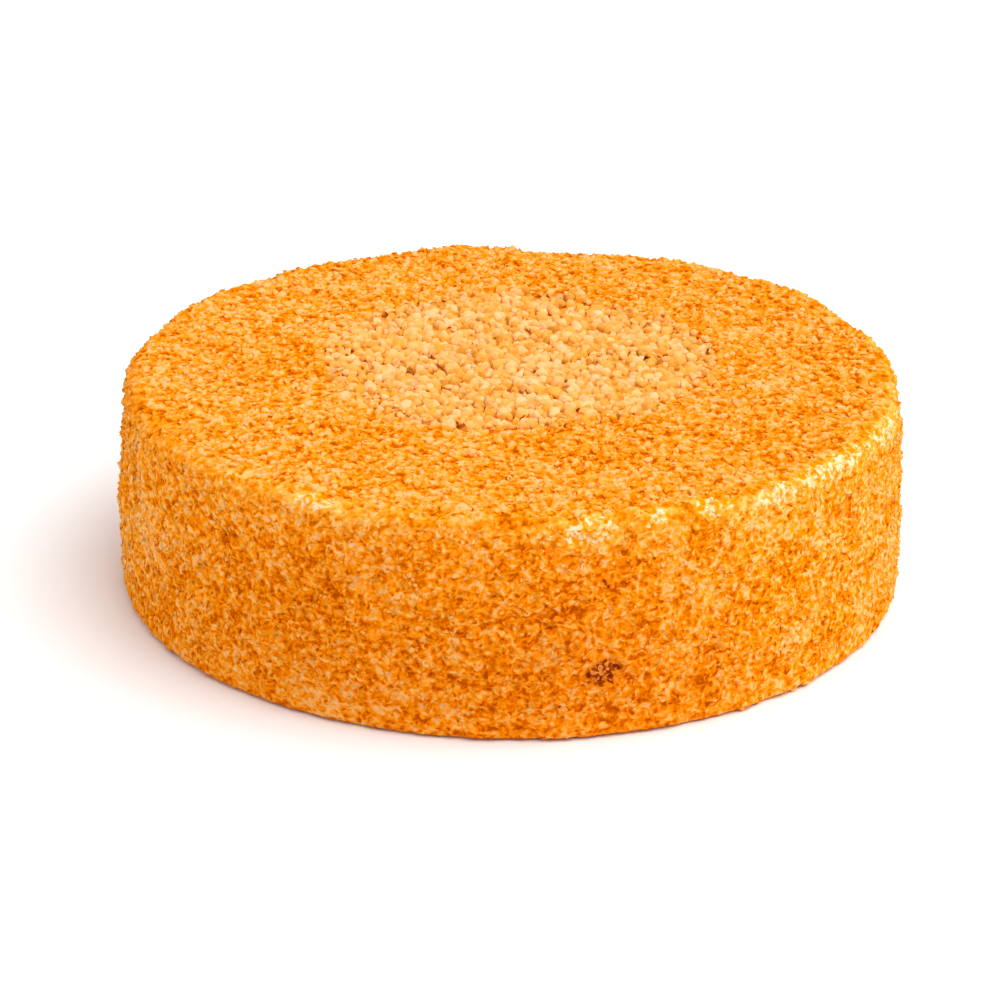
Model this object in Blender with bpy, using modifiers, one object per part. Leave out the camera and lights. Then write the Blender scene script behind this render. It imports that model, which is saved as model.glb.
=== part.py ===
"""Medovik honey cake, whole: a low round cake coated all over in fine honey-biscuit crumbs, with a bed of
chopped nuts set level into the middle of its top."""

import math
import random

import bmesh
import bpy
from mathutils import Vector, noise

# Driving dimensions of the cake, in metres
BASE_RADIUS = 0.1017
MIDDLE_RADIUS = 0.1015
TOP_RADIUS = 0.0996
HEIGHT = 0.0557
SHOULDER_RADIUS = 0.0046
FOOT_RADIUS = 0.0020
DOME_RISE = 0.0003

# The crumb coat: broad lumps left by the hand that pressed it on, clots of crumbs, and single crumbs
LUMP_SIZE = 0.024
LUMP_HEIGHT = 0.0007
CLOT_SIZE = 0.0075
CLOT_HEIGHT = 0.0008
CRUMB_HEIGHT = 0.00025

# Where the rim swells or sags: angle and half width in degrees, rise in metres
RIM_SWELLS = (
    (12.0, 10.0, 0.0008),
    (57.0, 8.0, 0.0008),
    (82.0, 12.0, -0.0011),
    (99.0, 6.0, 0.0013),
    (150.0, 8.0, 0.0006),
)
RIM_INNER_RADIUS = 0.078

# How finely the cake is divided, and how near the ground a point counts as lying on it
TURN_STEPS = 100
WALL_STEPS = 8
SHOULDER_STEPS = 3
FOOT_STEPS = 2
TOP_RINGS = 8
TOP_INNER_RADIUS = 0.040
ON_THE_GROUND = 0.0001

# The bed of nuts: its uneven round outline, and its levels measured from the cake's height
BED_CENTRE = Vector((0.0010, 0.0065))
BED_RADIUS = 0.0498
BED_WAVES = ((3, 0.0013, 0.0), (4, 0.0009, 0.1), (5, 0.0009, -1.6))
BED_UNDERSIDE = -0.0026
BED_HOLLOW = -0.0005
NUT_RISE = (0.0005, 0.0015)
NUT_PITCH = 0.0034
NUT_SHIFT = 0.0004
NUT_EDGE_MARGIN = 0.0004
LATTICE_REACH = 1.2 * BED_RADIUS
GAP = 0.0003
OUTLINE_POINTS = 90
CUTTER_TOP = 1.5 * HEIGHT

# The largest nuts, which stand clear of the rest
LARGE_NUTS = 74
LARGE_NUT_SIZE = ((0.0031, 0.0039), (0.0025, 0.0031), (0.0021, 0.0026))
LARGE_NUT_TILT = 0.35
LARGE_NUT_CENTRE = -0.0001
LARGE_NUT_UNEVENNESS = 0.14
GOLDEN_ANGLE = math.pi * (3 - math.sqrt(5))

SEED = 7


def clear_scene():
    for obj in list(bpy.data.objects):
        bpy.data.objects.remove(obj, do_unlink=True)


def collection(name):
    made = bpy.data.collections.new(name)
    bpy.context.scene.collection.children.link(made)
    return made


def material(name, colour, roughness):
    made = bpy.data.materials.new(name)
    made.use_nodes = True
    shader = made.node_tree.nodes["Principled BSDF"]
    shader.inputs["Base Color"].default_value = (*colour, 1)
    shader.inputs["Roughness"].default_value = roughness
    shader.inputs["Metallic"].default_value = 0
    return made


def object_from(bm, name, group):
    mesh = bpy.data.meshes.new(name)
    bm.to_mesh(mesh)
    bm.free()
    made = bpy.data.objects.new(name, mesh)
    group.objects.link(made)
    return made


def apply_modifiers(obj):
    """Keeps what the modifiers make as the object's own mesh."""
    graph = bpy.context.evaluated_depsgraph_get()
    made = bpy.data.meshes.new_from_object(obj.evaluated_get(graph))
    obj.modifiers.clear()
    obj.data = made


def keep_largest_body(mesh):
    """Fills any hollow that joining pieces has sealed, and drops any loose scrap."""
    bm = bmesh.new()
    bm.from_mesh(mesh)
    unseen = set(bm.verts)
    bodies = []
    while unseen:
        body = set()
        front = [unseen.pop()]
        while front:
            vertex = front.pop()
            body.add(vertex)
            beside = {edge.other_vert(vertex) for edge in vertex.link_edges} & unseen
            unseen -= beside
            front.extend(beside)
        bodies.append(body)
    largest = max(bodies, key=len)
    bmesh.ops.delete(bm, geom=[v for v in bm.verts if v not in largest], context="VERTS")
    bm.to_mesh(mesh)
    bm.free()


def smooth_step(value, low, high):
    share = min(1.0, max(0.0, (value - low) / (high - low)))
    return share * share * (3 - 2 * share)


def wall_radius(share):
    """The wall's radius at a share of its height: fullest at the foot, leaning in towards the shoulder."""
    foot = 2 * (share - 0.5) * (share - 1)
    middle = 4 * share * (1 - share)
    top = 2 * share * (share - 0.5)
    return BASE_RADIUS * foot + MIDDLE_RADIUS * middle + TOP_RADIUS * top


def turned_profile():
    """Radius and height of the cake's section, from the middle of its top down to the middle of its foot."""
    flat_radius = TOP_RADIUS - SHOULDER_RADIUS
    points = [(0.0, HEIGHT + DOME_RISE)]
    for i in range(TOP_RINGS):
        radius = TOP_INNER_RADIUS + (flat_radius - TOP_INNER_RADIUS) * i / TOP_RINGS
        points.append((radius, HEIGHT + DOME_RISE * (1 - (radius / flat_radius) ** 2)))
    for i in range(SHOULDER_STEPS + 1):
        turn = math.pi / 2 * (1 - i / SHOULDER_STEPS)
        rise = HEIGHT - SHOULDER_RADIUS + SHOULDER_RADIUS * math.sin(turn)
        points.append((flat_radius + SHOULDER_RADIUS * math.cos(turn), rise))
    for i in range(1, WALL_STEPS):
        share = 1 - i / WALL_STEPS
        wall_height = HEIGHT - SHOULDER_RADIUS - FOOT_RADIUS
        points.append((wall_radius(share), FOOT_RADIUS + wall_height * share))
    for i in range(FOOT_STEPS + 1):
        turn = math.pi / 2 * i / FOOT_STEPS
        radius = BASE_RADIUS - FOOT_RADIUS + FOOT_RADIUS * math.cos(turn)
        points.append((radius, FOOT_RADIUS - FOOT_RADIUS * math.sin(turn)))
    points.append((0.0, 0.0))
    return points


def rim_rise(point):
    """How far the rim stands above or below its even height here."""
    angle = math.degrees(math.atan2(point.y, point.x))
    nearness = smooth_step(math.hypot(point.x, point.y), RIM_INNER_RADIUS, TOP_RADIUS - SHOULDER_RADIUS)
    rise = 0.0
    for middle, half_width, height in RIM_SWELLS:
        away = (angle - middle + 180) % 360 - 180
        rise += height * math.exp(-((away / half_width) ** 2))
    return rise * nearness * smooth_step(point.z, HEIGHT / 2, HEIGHT)


def coat_relief(point):
    """How far the crumb coat stands out of its even surface here."""
    lumps = LUMP_HEIGHT * noise.noise(point / LUMP_SIZE)
    return lumps + CLOT_HEIGHT * noise.noise(point / CLOT_SIZE)


def roughen(mesh, rng):
    """Moves the coated surface out or in, and leaves the underside flat."""
    normals = [vertex.normal.copy() for vertex in mesh.vertices]
    for vertex, normal in zip(mesh.vertices, normals):
        point = vertex.co.copy()
        underneath = point.z < ON_THE_GROUND
        outward = Vector((point.x, point.y, 0)).normalized() if underneath else normal
        crumb = rng.uniform(-CRUMB_HEIGHT, CRUMB_HEIGHT)
        vertex.co = point + outward * (coat_relief(point) + crumb)
        vertex.co.z += rim_rise(point)
        vertex.co.z = max(vertex.co.z, point.z / 2)


def turned_cake(group, rng):
    """The cake's body, turned from its section and then roughened."""
    bm = bmesh.new()
    corners = [bm.verts.new((radius, 0, rise)) for radius, rise in turned_profile()]
    for upper, lower in zip(corners, corners[1:]):
        bm.edges.new((upper, lower))
    cake = object_from(bm, "honey_cake", group)
    screw = cake.modifiers.new("turn", "SCREW")
    screw.steps = TURN_STEPS
    screw.render_steps = TURN_STEPS
    screw.use_merge_vertices = True
    screw.merge_threshold = 0.00001
    apply_modifiers(cake)
    roughen(cake.data, rng)
    return cake


def bed_radius(angle):
    """The nut bed's radius about its own centre, in the direction of an angle."""
    radius = BED_RADIUS
    for lobes, swing, phase in BED_WAVES:
        radius += swing * math.cos(lobes * angle + phase)
    return radius


def bed_edge(angle, beyond=0.0):
    reach = bed_radius(angle) + beyond
    return BED_CENTRE + Vector((math.cos(angle), math.sin(angle))) * reach


def bed_cutter(group):
    """The shallow place that the nuts lie in, cut a gap wider and deeper than the bed."""
    bm = bmesh.new()
    bmesh.ops.create_circle(bm, cap_ends=True, segments=OUTLINE_POINTS, radius=BED_RADIUS)
    for vertex in bm.verts:
        edge = bed_edge(math.atan2(vertex.co.y, vertex.co.x), GAP)
        vertex.co = (edge.x, edge.y, HEIGHT + BED_UNDERSIDE - GAP)
    made = bmesh.ops.extrude_face_region(bm, geom=list(bm.faces), use_keep_orig=True)
    for item in made["geom"]:
        if isinstance(item, bmesh.types.BMVert):
            item.co.z = CUTTER_TOP
    bmesh.ops.recalc_face_normals(bm, faces=list(bm.faces))
    cutter = object_from(bm, "bed_cutter", group)
    cutter.hide_render = True
    cutter.display_type = "WIRE"
    return cutter


def cut_bed(cake, cutter):
    boolean = cake.modifiers.new("bed", "BOOLEAN")
    boolean.operation = "DIFFERENCE"
    boolean.object = cutter


def nut_lattice(rng):
    """A sheet of equal triangles in which every third point is the top of a nut and the others lie between."""
    spacing = NUT_PITCH / math.sqrt(3)
    row_spacing = spacing * math.sqrt(3) / 2
    rows = 2 * math.ceil(LATTICE_REACH / row_spacing)
    bm = bmesh.new()
    bmesh.ops.create_grid(bm, x_segments=rows, y_segments=rows, size=rows / 2)
    tops = []
    for vertex in bm.verts:
        column = round(vertex.co.x + rows / 2)
        row = round(vertex.co.y + rows / 2)
        slant = column - (row - row % 2) // 2
        x = (vertex.co.x + (row % 2) / 2) * spacing
        vertex.co = (x, vertex.co.y * row_spacing, 0)
        if (slant - row) % 3 == 0:
            tops.append(vertex)
    bmesh.ops.triangulate(bm, faces=list(bm.faces), quad_method="SHORT_EDGE")
    for vertex in bm.verts:
        vertex.co.z = HEIGHT + BED_HOLLOW + rng.uniform(-NUT_SHIFT, NUT_SHIFT) / 2
    for vertex in tops:
        vertex.co.z += rng.uniform(*NUT_RISE)
    for vertex in bm.verts:
        vertex.co.x += rng.uniform(-NUT_SHIFT, NUT_SHIFT)
        vertex.co.y += rng.uniform(-NUT_SHIFT, NUT_SHIFT)
    return bm


def trim_to_outline(bm):
    """Drops the lattice outside the bed's outline, and draws its last points out to that outline."""
    reach = {}
    for vertex in bm.verts:
        angle = math.atan2(vertex.co.y, vertex.co.x)
        reach[vertex] = bed_radius(angle) - vertex.co.xy.length
    outside = [vertex for vertex in bm.verts if reach[vertex] < NUT_EDGE_MARGIN]
    bmesh.ops.delete(bm, geom=outside, context="VERTS")
    border = [vertex for vertex in bm.verts if vertex.is_boundary]
    pinched = [v for v in border if sum(edge.is_boundary for edge in v.link_edges) != 2]
    bmesh.ops.delete(bm, geom=pinched, context="VERTS")
    for vertex in bm.verts:
        if vertex.is_boundary:
            angle = math.atan2(vertex.co.y, vertex.co.x)
            vertex.co.xy = vertex.co.xy.normalized() * bed_radius(angle)
    for vertex in bm.verts:
        vertex.co.xy += BED_CENTRE


def close_underneath(bm):
    """Gives the sheet an upright edge and a flat underside."""
    border = [edge for edge in bm.edges if edge.is_boundary]
    made = bmesh.ops.extrude_edge_only(bm, edges=border)
    lower = [item for item in made["geom"] if isinstance(item, bmesh.types.BMEdge)]
    for item in made["geom"]:
        if isinstance(item, bmesh.types.BMVert):
            item.co.z = HEIGHT + BED_UNDERSIDE
    bmesh.ops.edgeloop_fill(bm, edges=[edge for edge in lower if edge.is_boundary])
    bmesh.ops.recalc_face_normals(bm, faces=list(bm.faces))


def large_nut(index, rng, group):
    """One chopped nut: a small block with uneven corners, turned any way."""
    bm = bmesh.new()
    bmesh.ops.create_cube(bm, size=1)
    sides = [rng.uniform(*limits) for limits in LARGE_NUT_SIZE]
    for vertex in bm.verts:
        for axis in range(3):
            uneven = 1 + rng.uniform(-LARGE_NUT_UNEVENNESS, LARGE_NUT_UNEVENNESS)
            vertex.co[axis] *= sides[axis] * uneven
    bmesh.ops.triangulate(bm, faces=list(bm.faces))
    nut = object_from(bm, f"large_nut_{index}", group)
    angle = index * GOLDEN_ANGLE
    share = math.sqrt((index + 0.5) / LARGE_NUTS)
    reach = (bed_radius(angle) - LARGE_NUT_SIZE[0][1]) * share
    nut.location.x = BED_CENTRE.x + reach * math.cos(angle)
    nut.location.y = BED_CENTRE.y + reach * math.sin(angle)
    nut.location.z = HEIGHT + LARGE_NUT_CENTRE
    tilts = [rng.uniform(-LARGE_NUT_TILT, LARGE_NUT_TILT) for _ in range(2)]
    nut.rotation_euler = (*tilts, rng.uniform(0, math.pi))
    return nut


def nut_bed(group, rng):
    """The chopped nuts: a bed of nut-sized bumps with the largest nuts joined on."""
    bm = nut_lattice(rng)
    trim_to_outline(bm)
    close_underneath(bm)
    bed = object_from(bm, "chopped_nuts", group)
    loose = collection("large_nuts")
    nuts = [large_nut(index, rng, loose) for index in range(LARGE_NUTS)]
    union = bed.modifiers.new("join", "BOOLEAN")
    union.operation = "UNION"
    union.operand_type = "COLLECTION"
    union.collection = loose
    apply_modifiers(bed)
    keep_largest_body(bed.data)
    for nut in nuts:
        bpy.data.objects.remove(nut, do_unlink=True)
    bpy.data.collections.remove(loose)
    return bed


def centre_on_origin(cake, others):
    """Brings the middle of the cake's box to the origin, and the rest with it."""
    across = [vertex.co.x for vertex in cake.data.vertices]
    along = [vertex.co.y for vertex in cake.data.vertices]
    shift = Vector((-(min(across) + max(across)) / 2, -(min(along) + max(along)) / 2, 0))
    for obj in (cake, *others):
        obj.location += shift


def main():
    clear_scene()
    rng = random.Random(SEED)
    parts = collection("medovik_honey_cake")
    cutters = collection("cutters")
    cake = turned_cake(parts, rng)
    cutter = bed_cutter(cutters)
    cut_bed(cake, cutter)
    bed = nut_bed(parts, rng)
    centre_on_origin(cake, (cutter, bed))
    cake.data.materials.append(material("crumb_coat", (0.80, 0.36, 0.07), 0.85))
    bed.data.materials.append(material("chopped_nuts", (0.84, 0.52, 0.20), 0.65))


main()
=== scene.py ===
"""The looks of a whole medovik honey cake: its crumb coat, the cream that shows at its shoulder and the
chopped nuts on its top, on a pale floor in soft studio light."""

import math

import bmesh
import bpy
import numpy as np
from mathutils import Matrix, Vector, noise


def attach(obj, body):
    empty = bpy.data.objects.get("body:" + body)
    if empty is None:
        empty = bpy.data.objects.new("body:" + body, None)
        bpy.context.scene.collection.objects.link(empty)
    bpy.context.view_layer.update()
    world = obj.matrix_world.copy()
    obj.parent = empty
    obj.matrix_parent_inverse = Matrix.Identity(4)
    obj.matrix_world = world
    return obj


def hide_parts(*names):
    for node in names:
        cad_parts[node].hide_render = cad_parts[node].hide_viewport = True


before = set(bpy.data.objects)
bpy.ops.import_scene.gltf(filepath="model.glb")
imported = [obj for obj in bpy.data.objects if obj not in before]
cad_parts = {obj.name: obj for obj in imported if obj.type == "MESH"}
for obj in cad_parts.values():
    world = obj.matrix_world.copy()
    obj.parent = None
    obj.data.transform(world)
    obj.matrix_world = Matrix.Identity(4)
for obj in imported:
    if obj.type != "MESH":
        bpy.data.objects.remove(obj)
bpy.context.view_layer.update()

# The cake's form, in metres, as in its solid
BASE_RADIUS = 0.1017
MIDDLE_RADIUS = 0.1015
TOP_RADIUS = 0.0996
HEIGHT = 0.0557
SHOULDER_RADIUS = 0.0046
FOOT_RADIUS = 0.0020
DOME_RISE = 0.0003
LUMP_SIZE = 0.024
LUMP_HEIGHT = 0.0007
CLOT_SIZE = 0.0075
CLOT_HEIGHT = 0.0008
RIM_INNER_RADIUS = 0.078
FLAT_RADIUS = TOP_RADIUS - SHOULDER_RADIUS
FOOT_LENGTH = FOOT_RADIUS * math.pi / 2
SHOULDER_LENGTH = SHOULDER_RADIUS * math.pi / 2

# Swells of the rim, fitted to the photo's outline: the middle and half width of each, in degrees, and
# its rise
RIM_SWELLS = (
    (12.0, 10.0, 0.0008),
    (36.0, 8.0, 0.0014),
    (58.0, 8.0, 0.0006),
    (82.0, 12.0, -0.0011),
    (99.0, 6.0, 0.0008),
    (148.0, 12.0, 0.0012),
)

# The nut bed's outline, underside and gap, as in the solids, and the top and bumps of the nuts' core.
# The underside and the top are measured from the cake's height
BED_CENTRE = np.array([0.0010, 0.0065])
BED_RADIUS = 0.0498
BED_WAVES = ((3, 0.0013, 0.0), (4, 0.0009, 0.1), (5, 0.0009, -1.6))
BED_UNDERSIDE = -0.0026
NUT_CORE_TOP = -0.0011
NUT_CORE_BUMP_SIZE = 0.0018
NUT_CORE_BUMP_HEIGHT = 0.0005
GAP = 0.0003

# How far the surface under the loose crumbs lies inside the solid's, and its own small knots
COAT_DEPTH = 0.0004
KNOT_SIZE = 0.0024
KNOT_HEIGHT = 0.0007

# Shifts of the noises, so that one doesn't repeat another
KNOT_SHIFT = 40.0
SWAY_SHIFT = 5.0
BREAK_SHIFT = 7.0
SLOW_SHIFT = 3.0
MIDDLE_SHIFT = 9.0
BUMP_SHIFT = 5.0
# The least length that a vector is divided by
LEAST_LENGTH = 1e-12

# Points of the section's foot, wall, shoulder and top, where the top's first is the shoulder's last
FOOT_POINTS = 12
WALL_POINTS = 78
SHOULDER_POINTS = 20
TOP_POINTS = 100
SIDE_POINTS = FOOT_POINTS + WALL_POINTS + SHOULDER_POINTS

# How finely the two cores are divided, how near the middle the nuts' last ring is, and how far below
# the cake's height a point of its core still counts as its top
CORE_COLUMNS = 860
CORE_SIDE_RINGS = 74
CORE_TOP_RINGS = 36
NUT_CORE_COLUMNS = 300
NUT_CORE_RINGS = 50
NUT_CORE_INNER_SHARE = 0.02
TOP_DEPTH = 0.002

# Cream on the shoulder: the golden band that it soaks, and the spots where it shows between the crumbs.
# Middle and half width in degrees, and strength
SOAKED_PATCHES = (
    (-79, 8, 0.8),
    (-62, 7, 0.5),
    (-48, 9, 0.8),
    (-33, 8, 0.9),
    (-18, 9, 0.8),
    (5, 12, 0.5),
    (-112, 12, 0.45),
    (-132, 12, 0.4),
    (-155, 12, 0.25),
    (45, 18, 0.4),
    (95, 22, 0.3),
    (150, 22, 0.4),
)
CREAM_SPOTS = (
    (-79.5, 3.4, 1.3),
    (-69.8, 1.6, 0.9),
    (-61.0, 2.2, 1.0),
    (-50.5, 3.0, 0.9),
    (-43.0, 2.8, 0.75),
    (-34.5, 3.6, 0.85),
    (-20.5, 3.6, 0.85),
    (-8.0, 3.0, 0.5),
    (38.0, 4.0, 0.7),
    (60.0, 3.0, 0.5),
    (143.0, 4.0, 0.6),
    (-118.0, 3.0, 0.55),
    (-133.0, 2.5, 0.5),
)
# The middle of both as a share of the shoulder's length, how it sways, and the half widths of both
CREAM_MIDDLE = 0.40
CREAM_WAVE = 0.020
CREAM_SWAY = 0.0030
CREAM_HALF_WIDTH = 0.0024
SOAKED_HALF_WIDTH = 0.0036
# The noise that breaks both up, its swing and limits, and how strong the spots are
BREAK_SIZE = 0.0030
BREAK_SWING = 1.2
BREAK_LIMITS = (0.2, 1.4)
SPOT_STRENGTH = 1.3

# Patches of the wall where the coat is browner, or paler below 0: middle and half width in degrees,
# middle and half height in metres, and strength
TOASTED_PATCHES = (
    (-162, 16, 0.036, 0.030, -0.6),
    (-10, 24, 0.034, 0.040, -0.6),
    (-112, 30, 0.024, 0.026, 0.6),
    (-95, 40, 0.004, 0.014, 0.25),
    (-80, 14, 0.022, 0.026, 0.6),
    (-62, 9, 0.012, 0.020, 0.3),
    (-150, 12, 0.022, 0.020, 0.35),
    (35, 25, 0.024, 0.026, 0.5),
    (100, 30, 0.020, 0.024, 0.6),
    (165, 20, 0.024, 0.022, 0.5),
)

# The coat's mean level, how it swings from place to place and with the core's knots, and how much
# toasting lowers it
TOP_LEVEL = 0.41
WALL_LEVEL = 0.57
SLOW_SIZE = 0.012
SLOW_SWING = 0.16
MIDDLE_SIZE = 0.0045
MIDDLE_SWING = 0.16
# The swing with the knots is painted light and shade: raised knots paler, the hollows between them darker
KNOT_LIGHT_SWING = 0.08
TOAST_LEVEL = 0.10

# Small scorched places on the wall: direction in degrees, level and half width in metres, and strength
SCORCHED_SPOTS = (
    (-76.8, 0.0176, 0.0038, 1.0),
    (-78.6, 0.0168, 0.0022, 0.6),
    (-77.2, 0.0400, 0.0022, 0.6),
    (-111.0, 0.0385, 0.0024, 0.4),
    (-105.0, 0.0430, 0.0020, 0.4),
    (-101.0, 0.0340, 0.0018, 0.3),
    (64.0, 0.0300, 0.0028, 0.6),
    (133.0, 0.0210, 0.0024, 0.5),
)

# Loose crumbs: how many shapes each sort has, the form of their sizes' distribution, how far single
# ones swing in level and cream, and how far they stray in their cells on the wall and on the top
CRUMB_SHAPES = 60
CRUMB_SIZE_SPREAD = (1.4, 2.0)
PIECE_SWING = 0.08
PIECE_CREAM = (0.6, 1.2)
WALL_JITTER = 0.4
TOP_JITTER = 0.5
# They lean and stand out more on the top, stand out more among the nuts, and sink in near the foot
TOP_LEAN = 1.3
TOP_LIFT = 0.10
STRAY_LIFT = 0.0007
FOOT_SINK = 0.0006
FOOT_SINK_END = 3 * FOOT_LENGTH
# A lean so large that pieces lie any way up
ANY_WAY = 9.0
# How far inside the bed's outline crumbs may lie and nuts start, and how far single ones stray
CRUMB_EDGE = 0.0002
NUT_EDGE = -0.0008
EDGE_STRAY = 0.0026
# Painted light and shade: how much paler each point of a piece is painted for each metre that it stands out,
# and darker for each metre that it lies deeper, as raised crumbs and nuts catch light and their gaps lie in
# shade
WALL_HEIGHT_LIGHT = 240
TOP_HEIGHT_LIGHT = 480
NUT_HEIGHT_LIGHT = 320

# Loose nuts: the pitch of their grid, its rows as a share of that, its cells each way from the middle,
# how far nuts stray in their cells, their sizes, and how many shapes they have
NUT_PITCH = 0.0023
NUT_ROW_SHARE = 0.866
NUT_CELLS = 33
NUT_JITTER = 0.3
NUT_SIZE = (0.0020, 0.0037)
NUT_SHAPES = 40
# How far nuts stand out and how that swings, the share with one more above, and how far that one
# strays and rises
NUT_LIFT = -0.0006
NUT_LIFT_SWING = (-0.0002, 0.0003)
UPPER_SHARE = 0.25
UPPER_JITTER = 0.5
UPPER_LIFT = 0.0004
# Their levels: range, form of its distribution, how much lower all are, how much lower still by the
# bed's edge, and over what width that fades
NUT_LEVEL_RANGE = 0.9
NUT_LEVEL_SPREAD = (1.2, 1.4)
NUT_DEPTH = 0.045
NUT_EDGE_DEPTH = 0.25
NUT_EDGE_WIDTH = 0.0025
# The level and the tint of the nuts' core, which shows in the gaps between nuts: its low level paints
# those gaps darker, as painted shade
NUT_GAP_SHADE_LEVEL = 0.25
NUT_CORE_TINT = 0.5

# How far the shading of crumbs and nuts leans toward the surface under them, and how far outward a face
# of theirs turns to count as their outer side
CRUMB_SOFTNESS = 0.65
NUT_SOFTNESS = 0.5
SHOWN_FACING = -0.25

# The crumb's colours from its creases to its palest crumbs, on the wall and on the top: darker in creases as
# painted shade and paler on raised crumb as painted light, besides the crumb's own tone
WALL_COLOURS = (
    (0.0, (0.50, 0.085, 0.0)),
    (0.18, (0.73, 0.148, 0.0)),
    (0.34, (0.89, 0.215, 0.0)),
    (0.50, (0.98, 0.29, 0.002)),
    (0.66, (1.0, 0.36, 0.020)),
    (0.82, (1.0, 0.45, 0.090)),
    (1.0, (1.0, 0.54, 0.20)),
)
TOP_COLOURS = (
    (0.0, (0.52, 0.10, 0.0)),
    (0.18, (0.76, 0.17, 0.0)),
    (0.34, (0.92, 0.24, 0.001)),
    (0.50, (1.0, 0.30, 0.014)),
    (0.66, (1.0, 0.35, 0.044)),
    (0.82, (1.0, 0.40, 0.092)),
    (1.0, (1.0, 0.46, 0.165)),
)
# What toasting multiplies the coat's colour by, and its other colours: soaked by cream, the cream
# itself and its painted shade in hollows, scorched places and their painted shade in hollows, and specks
TOASTED = (0.86, 0.74, 0.6, 1)
SOAKED = (1.0, 0.36, 0.002, 1)
PALE_SOAKED = (1.0, 0.64, 0.15, 1)
CREAM = (1.0, 0.70, 0.42, 1)
SHADED_CREAM = (1.0, 0.50, 0.12, 1)
BROWNED = (0.74, 0.14, 0.003, 1)
SCORCHED = (0.52, 0.085, 0.006, 1)
SHADED_SCORCHED = (0.18, 0.024, 0.002, 1)
DARK_SPECK = (0.26, 0.060, 0.003, 1)
RED_SPECK = (0.60, 0.100, 0.0, 1)

# The nuts' colours from their darkest to their palest, and two tints of single nuts, each with the
# chances where it starts and where it is full, and how much it covers
NUT_COLOURS = (
    (0.0, (0.62, 0.225, 0.014)),
    (0.25, (0.85, 0.325, 0.035)),
    (0.55, (0.96, 0.41, 0.095)),
    (1.0, (1.00, 0.53, 0.22)),
)
HONEYED_NUT = (1.0, 0.36, 0.02, 1)
HONEYED_LIMITS = (0.82, 1.0)
HONEYED_COVER = 0.8
PALE_NUT = (1.0, 0.60, 0.36, 1)
PALE_LIMITS = (0.2, 0.0)
PALE_COVER = 0.45
# Their fine speckles, how far those swing their level, and how their surface shades
SPECKLES = {"Scale": 700, "Detail": 3}
SPECKLE_SWING = 0.6
NUT_BUMP = {"Strength": 0.2, "Distance": 0.0003}
NUT_ROUGHNESS = 0.6
NUT_SHINE = 0.12

# The crumb's pattern: its patches and their height, its grain, the size of the noise that bends it and
# how far, and the detail of every noise in it
PATCH_SIZE = 0.0016
PATCH_HEIGHT = 1.9
GRAIN_SIZE = 0.0010
BEND_SIZE = 0.0032
BEND_REACH = 0.0030
NOISE_DETAIL = 1.0
# Its thin ridges: pitch, width as a share of that, height, mean, and the noise that interrupts them
RIDGE_PITCH = 0.0022
RIDGE_WIDTH = 0.3
RIDGE_HEIGHT = 0.35
RIDGE_MEAN = 0.35
RIDGE_BREAK_SIZE = 0.003
RIDGE_BREAK_LIMITS = (-0.08, 0.06)
# How much coarser it is on the top, how strong on the wall, and how much flatter it is than wide
TOP_PATTERN = 1.3
WALL_CONTRAST = 0.9
SQUASH = 1.12
# How the crumb's surface shades
CRUMB_BUMP = {"Strength": 0.4, "Distance": 0.0004}
CRUMB_ROUGHNESS = 0.85
CRUMB_SHINE = 0.0

# Levels between which the golden band turns pale, and how much of the coat's colour it covers
SOAKED_LEVELS = (0.25, 0.85)
SOAKED_COVER = 0.7
# How much the pattern breaks up the outlines of cream and scorched places, where each starts and is
# full, and the pattern's heights between which each turns from its painted shade in hollows to its own
# colour
OUTLINE_BREAK = 2.2
CREAM_LIMITS = (0.95, 1.45)
CREAM_HEIGHTS = (-0.25, 0.25)
SCORCHED_LIMITS = (0.55, 0.90)
SCORCHED_HEIGHTS = (-0.25, 0.1)
# Where the browning round a scorched place starts and is full, and how much it covers
BROWNED_LIMITS = (0.15, 0.6)
BROWNED_COVER = 0.5

# Specks: the pitch of their cells, the chance above which a cell has one, its greatest radius and its
# soft edge in pitches, how much it covers, the share of that on the top, and its turn from dark to red
SPECK_PITCH = 0.0036
SPECK_CHANCE = 0.6
SPECK_RADIUS = 0.18
SPECK_EDGE = 0.08
SPECK_COVER = 0.9
TOP_SPECK_SHARE = 0.3
SPECK_TINTS = (0.4, 0.6)

# The photo's viewing angle: where the camera stands, what it looks at, and its slight roll
CAMERA_ELEVATION = math.radians(22.66)
CAMERA_DISTANCE = 0.816
CAMERA_LENS = 112.5
SENSOR_WIDTH = 36
CAMERA_PIVOT = Vector((0, 0, 0.0296))
CAMERA_AIM = Vector((-0.0028, -0.0040, 0.0200))
CAMERA_ROLL = math.radians(0.415)

# Soft studio light: an even white world, a key sun and a faint fill sun, both wide, and a pale floor
WORLD_STRENGTH = 0.63
KEY_AZIMUTH = math.radians(-15)
KEY_ELEVATION = math.radians(62)
KEY_STRENGTH = 2.7
FILL_AZIMUTH = math.radians(195)
FILL_ELEVATION = math.radians(40)
FILL_STRENGTH = 0.20
SUN_ANGLE = math.radians(60)
FLOOR_SIZE = 8
FLOOR_COLOUR = (0.88, 0.88, 0.88, 1)
FLOOR_ROUGHNESS = 0.9

SEED = 11
rng = np.random.default_rng(SEED)


def smooth_step(value, low, high):
    share = np.clip((value - low) / (high - low), 0, 1)
    return share * share * (3 - 2 * share)


def unit(vectors):
    return vectors / np.maximum(np.linalg.norm(vectors, axis=-1, keepdims=True), LEAST_LENGTH)


def even_turns(count):
    """Evenly spaced angles round a circle."""
    return np.arange(count) * 2 * math.pi / count


def circle_points(angles):
    return np.stack([np.cos(angles), np.sin(angles)], axis=-1)


def noise_at(points, size, shift=0.0):
    """Smooth noise at each point, between about -0.7 and 0.7."""
    scaled = points / size + shift
    return np.fromiter((noise.noise(Vector(p)) for p in scaled.tolist()), float, len(scaled))


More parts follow.
